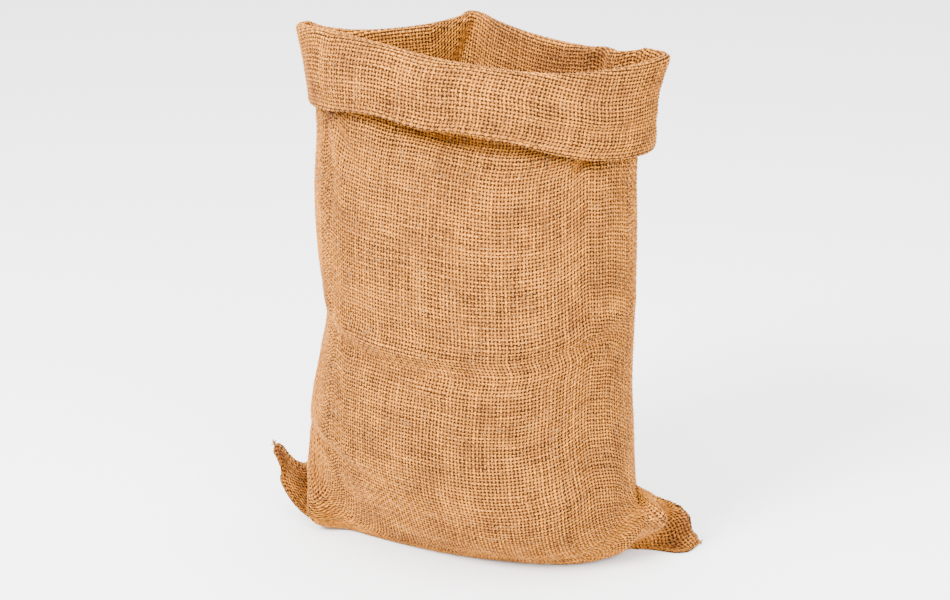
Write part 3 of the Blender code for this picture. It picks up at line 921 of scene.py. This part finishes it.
def crossing_places(a, b):
    """Where warp yarn a crosses weft yarn b: drawn to the sewn edges, one yarn right on the fold."""
    from_edge = np.minimum.reduce([a, b, WARP_YARNS - 1 - a, WEFT_YARNS - 1 - b])
    inside = np.clip(from_edge / STILL_EDGE, 0, 1)
    cross_a = a + 0.5 + warp_shift[a, b] * inside
    cross_b = b + 0.5 + weft_shift[a, b] * inside
    from_fold = a + 0.5 - WARP_YARNS / 2
    pulled_a = np.exp(-a / EDGE_REACH) - np.exp(-(WARP_YARNS - 1 - a) / EDGE_REACH)
    half_step = 0.5 * bell(from_fold / FOLD_REACH)
    return cross_a - EDGE_PULL * pulled_a - half_step, cross_b - EDGE_PULL * np.exp(-b / EDGE_REACH)


def opening(runs_up):
    """How much the outside of the cloth is stretched at each crossing, across the yarn."""
    sharply = np.linalg.norm(np.gradient(lattice_normal, axis=1 if runs_up else 0), axis=-1)
    middle = (sharply[:-1, :-1] + sharply[1:, 1:]) / 2
    return np.clip(1 + YARN_COVER * (middle - LITTLE_BEND), 1, WIDEST)


print("largest shift of a crossing:", round(float(np.abs(warp_shift).max()), 2), "of a pitch")

# %% [markdown]
# `woven_sheaf` gives every point of a straight sheaf its place in the cloth. Two UV maps go
# with it: "yarn" counts yarns and crossings for the fibre pattern, and "OFBake" spreads the
# sheaf over one square. Two values go with each point: one marks where a yarn comes to the top
# and gets a painted highlight, the other how dark the ears' tone and the painted shade make it.

# %% Weaving
YARN_LIFT = 0.00062     # how far a yarn rises over the next one
YARN_HALF_THICK = 0.00050
WARP_HALF_WIDE = 0.00095
WEFT_HALF_WIDE = 0.00091
SHORT_SLUB = 0.15       # how much thicker or thinner a yarn is over a few crossings
LONG_SLUB = 0.12        # over a hand's breadth
YARN_SLUB = 0.08        # and from yarn to yarn
THIN_TO_THICK = (0.55, 1.6)     # narrowest and widest, of a yarn's own width
FLAT_TO_ROUND = (0.7, 1.25)     # the same for its thickness
WANDER = 0.00022        # how far a yarn strays from its line
SHORT_WANDER = 0.7      # share of that from one crossing to the next
UV_MARGIN = 0.02        # of a yarn's width, between yarns that lie side by side in a UV map


def add_value(mesh, name, values):
    """A value for each point of a mesh, for its material."""
    layer = mesh.attributes.new(name, "FLOAT", "POINT")
    layer.data.foreach_set("value", values.astype(np.float32))


def side_of_corner(mesh, sideways, lifted):
    """Which side of its yarn each face corner is on, 0 to 4 round it: 4 is 0 after a full turn."""
    quarter = np.round(np.arctan2(lifted, sideways) / (2 * np.pi / YARN_SIDES)).astype(int) % YARN_SIDES
    quarter = quarter[read(mesh.loops, "vertex_index")]
    starts = read(mesh.polygons, "loop_start")
    owner = np.repeat(np.arange(len(starts)), read(mesh.polygons, "loop_total"))
    wraps = np.maximum.reduceat((quarter == YARN_SIDES - 1).astype(int), starts)[owner] == 1
    return np.where(wraps & (quarter == 0), YARN_SIDES, quarter)


def woven_sheaf(name, first, count, crossings, runs_up):
    """A sheaf of yarns woven through the standing cloth, as one piece."""
    mesh = straight_sheaf(count, crossings)
    points = read(mesh.vertices, "co", float, 3)
    yarn = np.clip(np.round(points[:, 0]).astype(int), 0, count - 1)
    ring = np.clip(np.round(points[:, 1]).astype(int), 0, crossings - 1)
    sideways = (points[:, 0] - yarn) / TUBE
    lifted = points[:, 2] / TUBE
    slub = 1 + SHORT_SLUB * uneven(count, crossings, 3) + LONG_SLUB * uneven(count, crossings, 26)
    slub = slub[yarn, ring] + YARN_SLUB * chance.normal(0, 1, count)[yarn]
    stray = uneven(count, crossings, 9) + SHORT_WANDER * uneven(count, crossings, 2)
    over = np.where((yarn + first + ring + (0 if runs_up else 1)) % 2 == 0, 1, -1)
    a, b = (yarn + first, ring) if runs_up else (ring, yarn + first)
    half_wide = (WARP_HALF_WIDE if runs_up else WEFT_HALF_WIDE) * opening(runs_up)[b, a]
    off_line = (sideways * half_wide * np.clip(slub, *THIN_TO_THICK) + WANDER * stray[yarn, ring]) / PITCH
    height = over * YARN_LIFT + lifted * YARN_HALF_THICK * np.clip(slub, *FLAT_TO_ROUND)
    cross_a, cross_b = crossing_places(a, b)
    if runs_up:
        place = stand_up(cross_a + off_line, cross_b, height)
    else:
        place = stand_up(cross_a, cross_b + off_line, height)
    mesh.vertices.foreach_set("co", place.ravel())
    corner = read(mesh.loops, "vertex_index")
    quarter = side_of_corner(mesh, sideways, lifted)
    number = yarn[corner] + UV_MARGIN + (1 - 2 * UV_MARGIN) * quarter / YARN_SIDES
    add_uv(mesh, "yarn", np.stack([number + first, ring[corner] + 0.5 * (quarter % 2)], -1))
    add_uv(mesh, "OFBake", np.stack([number / count, (ring[corner] + 0.5) / crossings], -1))
    if not runs_up:
        mesh.flip_normals()
    # painted highlight where a yarn comes to the top of the cloth
    add_value(mesh, "crown_highlight", over * lifted > 0.5)
    # the ears' darker tone and painted shade, as a value at each point
    add_value(mesh, "shade_and_ear_tone", painted_shade_and_ear_tone(cross_a, cross_b))
    mesh.name = name
    print(name, count, "yarns,", len(mesh.polygons), "faces")
    return in_scene(name, mesh)


# %% All the yarns
warp_half = WARP_YARNS // 2
weft_half = WEFT_YARNS // 2
yarns = [
    woven_sheaf("warp_yarns_front", 0, warp_half, WEFT_YARNS, True),
    woven_sheaf("warp_yarns_back", warp_half, warp_half, WEFT_YARNS, True),
    woven_sheaf("weft_yarns_low", 0, weft_half, WARP_YARNS, False),
    woven_sheaf("weft_yarns_high", weft_half, weft_half, WARP_YARNS, False),
]

# %% [markdown]
# ## Jute
#
# Jute is a golden brown bast fibre, dull, with lighter and darker stalks spun together. The
# yarn's UV map counts yarns one way and crossings the other, so noise stretched along it
# gives fibres that run the way the yarn does, whichever way the cloth is folded.

# %% Nodes that the materials share
def node(tree, kind, inputs, **settings):
    """A new shader node. Each of its inputs gets a value, or a link from another node's output."""
    made = tree.nodes.new("ShaderNode" + kind)
    for name, value in settings.items():
        setattr(made, name, value)
    for name, value in inputs.items():
        if isinstance(value, bpy.types.NodeSocket):
            tree.links.new(value, made.inputs[name])
        else:
            made.inputs[name].default_value = value
    return made


def noise(tree, places, scale, detail):
    """Noise at the given places."""
    return node(tree, "TexNoise", {"Vector": places, "Scale": scale, "Detail": detail}).outputs["Fac"]


def cloth_noise(tree, scale, detail):
    """Noise through the whole sack, in metres."""
    return noise(tree, node(tree, "TexCoord", {}).outputs["Object"], scale, detail)


def attribute(tree, name):
    """A value that each point of the mesh carries."""
    return node(tree, "Attribute", {}, attribute_name=name).outputs["Fac"]


def added(tree, value, times, total):
    """The total, and a number of times the value."""
    return node(tree, "Math", {0: value, 1: times, 2: total}, operation="MULTIPLY_ADD").outputs["Value"]


def coloured(tree, value, *stops):
    """A colour for each value from 0 to 1; a stop is a value and its colour."""
    made = node(tree, "ValToRGB", {"Fac": value})
    elements = made.color_ramp.elements
    for element, (place, colour) in zip(elements, (stops[0], stops[-1])):
        element.position = place
        element.color = (*colour, 1)
    for place, colour in stops[1:-1]:
        elements.new(place).color = (*colour, 1)
    return made.outputs["Color"]


def dull_material(name, roughness, specular):
    """A material that uses nodes, with its tree and its shader."""
    material = bpy.data.materials.new(name)
    material.use_nodes = True
    shader = material.node_tree.nodes["Principled BSDF"]
    shader.inputs["Roughness"].default_value = roughness
    shader.inputs["Specular IOR Level"].default_value = specular
    return material, material.node_tree, shader


def surface(tree, shader, colour, bumps=None, strength=0, distance=0):
    """Links a colour, and small bumps where there are any, to the shader."""
    tree.links.new(colour, shader.inputs["Base Color"])
    if bumps:
        bump = node(tree, "Bump", {"Height": bumps, "Strength": strength, "Distance": distance})
        tree.links.new(bump.outputs["Normal"], shader.inputs["Normal"])


print("helpers for noise, values, colours and bumps")


# %% Jute materials
SPIN = 24                       # degrees between the fibres and the yarn
FIBRE_SIZE = (0.09, 0.75, 1)    # of a fibre streak, in yarns and crossings
STALK_RATE = (3.1, 0.11, 1)     # a tone differs from yarn to yarn, and changes slowly along it
FROM_DARK = 1.25                # the sum of all tones at which a yarn is darkest
TO_LIGHT = 2.10                 # and palest
# the colour that the ears' darker tone and the painted shade multiply in, at their darkest
SHADE_AND_TONE_TINT = (0.34, 0.26, 0.21, 1)  # what is left of the colour where the cloth is darkest


def jute_yarn(name, dark, middle, light):
    """Spun jute: fibre streaks, a tone for each yarn, blotches over the cloth, a painted highlight on the
    crowns, darker ears and painted shade, bump.
    """
    material, tree, shader = dull_material(name, 0.88, 0.18)
    shader.inputs["Sheen Weight"].default_value = 0.04
    uv = node(tree, "UVMap", {}, uv_map="yarn").outputs["UV"]
    # TEXTURE turns first and then stretches, so that the streaks lie at a slant to the yarn
    slant = (0, 0, math.radians(SPIN))
    spun = node(tree, "Mapping", {"Vector": uv, "Rotation": slant, "Scale": FIBRE_SIZE},
                vector_type="TEXTURE")
    slow = node(tree, "Mapping", {"Vector": uv, "Scale": STALK_RATE})
    fibres = noise(tree, spun.outputs["Vector"], 1, 4)
    stalks = noise(tree, slow.outputs["Vector"], 1, 1)
    tone = added(tree, fibres, 1.7, stalks)
    tone = added(tree, cloth_noise(tree, 26, 3), 0.45, tone)
    # painted highlight: the crowns of the yarns are paler
    tone = added(tree, attribute(tree, "crown_highlight"), 0.30, tone)
    spread = node(tree, "MapRange", {"Value": tone, "From Min": FROM_DARK, "From Max": TO_LIGHT})
    clean = coloured(tree, spread.outputs["Result"], (0, dark), (0.5, middle), (1, light))
    # the ears' darker tone and the painted shade darken the yarn colour here
    shaded_and_toned = node(tree, "Mix", {"Factor": attribute(tree, "shade_and_ear_tone"), "A": clean, "B": SHADE_AND_TONE_TINT},
                  data_type="RGBA", blend_type="MULTIPLY")
    surface(tree, shader, shaded_and_toned.outputs["Result"], fibres, 0.8, 0.0003)
    return material


def gap_shade_material(name, colour):
    """Painted shade for the gaps between the yarns: dark brown, with a fine random tone."""
    material, tree, shader = dull_material(name, 1.0, 0.1)
    dark = [c * 0.45 for c in colour]
    light = [c * 1.9 for c in colour]
    surface(tree, shader, coloured(tree, cloth_noise(tree, 420, 2), (0.35, dark), (0.70, light)))
    return material


def jute_strand(name, dark, light, scale):
    """Thick thread or single fibres: lighter and darker stretches, and a fine bump."""
    material, tree, shader = dull_material(name, 0.85, 0.25)
    stretches = cloth_noise(tree, scale, 3)
    surface(tree, shader, coloured(tree, stretches, (0.30, dark), (0.72, light)), stretches, 0.4, 0.0002)
    return material


spun_jute = jute_yarn("spun jute", (0.072, 0.022, 0.0034), (0.248, 0.081, 0.0048), (0.710, 0.262, 0.0130))
sewing_jute = jute_strand("jute sewing thread", (0.147, 0.046, 0.005), (0.410, 0.173, 0.022), 700)
pale_jute = jute_strand("pale jute fibre", (0.265, 0.122, 0.030), (0.515, 0.317, 0.125), 90)
# painted shade: a dark sheet that fills the gaps between the yarns
gap_shade = gap_shade_material("painted shade between the yarns", (0.020, 0.0066, 0.0011))
sheet.data.materials.append(gap_shade)
for piece in yarns:
    piece.data.materials.append(spun_jute)
print("materials:", [m.name for m in (spun_jute, sewing_jute, pale_jute, gap_shade)])

# %% [markdown]
# ## Sewn edges
#
# The left side and the bottom are closed with a whipped seam: one thick jute thread goes
# round and round the two cut edges. A curve that winds round the edge makes it, and its round
# bevel is the thread. On the floor the thread is pressed flat with the cloth.

# %% Whipped seams
THREAD_RADIUS = 0.00050
STITCH = 1.35           # yarns from stitch to stitch
STITCH_OUT = 0.0010     # how far the thread goes round the edge outward
STITCH_ROUND = 0.0019   # and to either side
STITCH_STEPS = 8
STITCH_UNEVEN = 0.18
TIP_SIZE = 0.55         # the stitches' size at the tip of an ear, where they are pulled in
TIP_REACH = 0.06        # how far from the tip they have their full size
SEAM_CLEAR = 1.3        # of the thread's radius, from the middle of the thread to the floor
SIDE_SEAM = 0.72        # share of the cloth's length with a side seam: it ends under the cuff


def thread(name, runs, radius):
    """Threads through lists of points, as one mesh."""
    line = bpy.data.curves.new(name, "CURVE")
    line.dimensions = "3D"
    line.bevel_depth = radius
    line.bevel_resolution = 0
    line.use_fill_caps = True
    for run in runs:
        spline = line.splines.new("POLY")
        spline.points.add(len(run) - 1)
        spline.points.foreach_set("co", np.hstack([run, np.ones((len(run), 1))]).ravel())
    mesh = applied(in_scene(name, line))
    mesh.name = name
    print(name, len(runs), "threads,", len(mesh.polygons), "faces")
    return in_scene(name, mesh)


def whipped(edge, inner, from_tip):
    """A thread wound round an edge, with the line of yarns that lies next to it for direction."""
    away = unit(edge - inner)
    sideways = unit(np.cross(unit(np.gradient(edge, axis=0)), away))
    count = int((len(edge) - 1) / STITCH)
    at = np.linspace(0, len(edge) - 1, count * STITCH_STEPS + 1)
    turn = np.linspace(0, 2 * np.pi * count, count * STITCH_STEPS + 1)
    knots = np.arange(len(edge))

    def here(grid):
        return np.stack([np.interp(at, knots, grid[:, axis]) for axis in range(3)], -1)

    uneven_size = 1 + STITCH_UNEVEN * np.interp(at, knots, chance.normal(0, 1, len(edge)))
    pulled_in = TIP_SIZE + (1 - TIP_SIZE) * ease(np.interp(at, knots, from_tip) / TIP_REACH)
    size = (pulled_in * uneven_size)[:, None]
    out = np.cos(turn)[:, None] * STITCH_OUT * here(away) * size
    to_side = np.sin(turn)[:, None] * STITCH_ROUND * here(sideways) * size
    line = here(edge) - STITCH_OUT * here(away) + out + to_side
    line[:, 2] = np.maximum(line[:, 2], SEAM_CLEAR * THREAD_RADIUS)
    return line


side_rows = int(WEFT_YARNS * SIDE_SEAM)
side_edge = lattice[:side_rows, 0]
side_inner = (lattice[:side_rows, 2] + lattice[:side_rows, -3]) / 2
bottom_yarns = np.arange(warp_half + 1)
bottom_edge = (lattice[0, bottom_yarns] + lattice[0, WARP_YARNS - bottom_yarns]) / 2
bottom_inner = (lattice[2, bottom_yarns] + lattice[2, WARP_YARNS - bottom_yarns]) / 2
seams = thread("seam_thread", [
    whipped(side_edge, side_inner, np.arange(side_rows) * PITCH),
    whipped(bottom_edge, bottom_inner, np.minimum(bottom_yarns, bottom_yarns[::-1]) * PITCH),
], THREAD_RADIUS)
seams.data.materials.append(sewing_jute)

# %% [markdown]
# ## Loose fibres and yarn ends
#
# Jute sheds. Short fibres stand off the cloth, scattered evenly over it, and a few yarn ends
# hang from the tips of the ears. Each is a thin bent curve that starts in the cloth and leaves
# it at a low angle.

# %% Fibres
FIBRES = 2600
FIBRE_RADIUS = 0.00007
FIBRE_POINTS = 5
FIBRE_BEND = 0.8        # radians by which most fibres curl
IN_CLOTH = 0.0006       # a fibre starts this far off the middle of the cloth, in a yarn
INSIDE_OUT = (0.15, 0.85)       # share of the fibres on the inside and on the outside
TUFT = 9                # yarn ends at each tip
TUFT_RADIUS = 0.00045
TUFT_POINTS = 7
TUFT_CURL = 0.35        # share of its length by which a yarn end curls
ON_FLOOR = 0.0004       # the middle of a yarn end stays this far above the floor


def fibre(a, b, length, lift):
    """One fibre: a few points that leave the cloth at a flat place and curl."""
    flat_way = chance.uniform(0, 2 * np.pi)
    side = chance.choice((-1, 1), p=INSIDE_OUT)
    steps = np.linspace(0, 1, FIBRE_POINTS)
    bend = chance.normal(0, FIBRE_BEND)
    run_a = a + np.cos(flat_way + bend * steps) * steps * length / PITCH
    run_b = b + np.sin(flat_way + bend * steps) * steps * length / PITCH
    height = side * (IN_CLOTH + lift * steps * (1.3 - steps * chance.uniform(0.2, 1.0)))
    return stand_up(run_a, run_b, height)


def yarn_end(start, way, length):
    """A yarn end that sticks out of a tip and curls."""
    steps = np.linspace(0, 1, TUFT_POINTS)[:, None]
    curl = np.cross(way, chance.normal(0, 1, 3)) * TUFT_CURL
    end = start + way * length * steps + curl * length * np.sin(steps * 4) * steps
    end[:, 2] = np.maximum(end[:, 2], ON_FLOOR)
    return end


loose = [fibre(chance.uniform(1, WARP_YARNS - 1), chance.uniform(4, WEFT_YARNS * 0.97),
               chance.uniform(0.004, 0.012), chance.uniform(0.0006, 0.0030)) for _ in range(FIBRES)]
fuzz = thread("loose_fibres", loose, FIBRE_RADIUS)

ends = []
for tip, inner, spread in ((lattice[0, 0], lattice[6, 6], 0.5),
                           (lattice[0, warp_half], lattice[6, warp_half - 6], 0.4)):
    for _ in range(TUFT):
        way = unit(unit(tip - inner) + chance.normal(0, spread, 3))
        ends.append(yarn_end(tip, way, chance.uniform(0.002, 0.005)))
tufts = thread("yarn_ends", ends, TUFT_RADIUS)

fuzz.data.materials.append(pale_jute)
tufts.data.materials.append(sewing_jute)
trimmings = [seams, fuzz, tufts]

# %% [markdown]
# ## Joining the frame
#
# Every piece rides on the part's one body. The sheet stands for the plain solid, which is
# hidden; like the cloth, it was made flat before it was folded and sewn.

# %% Attach and finish
for piece in [sheet] + yarns + trimmings:
    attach(piece, "root")
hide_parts("sack_cloth")
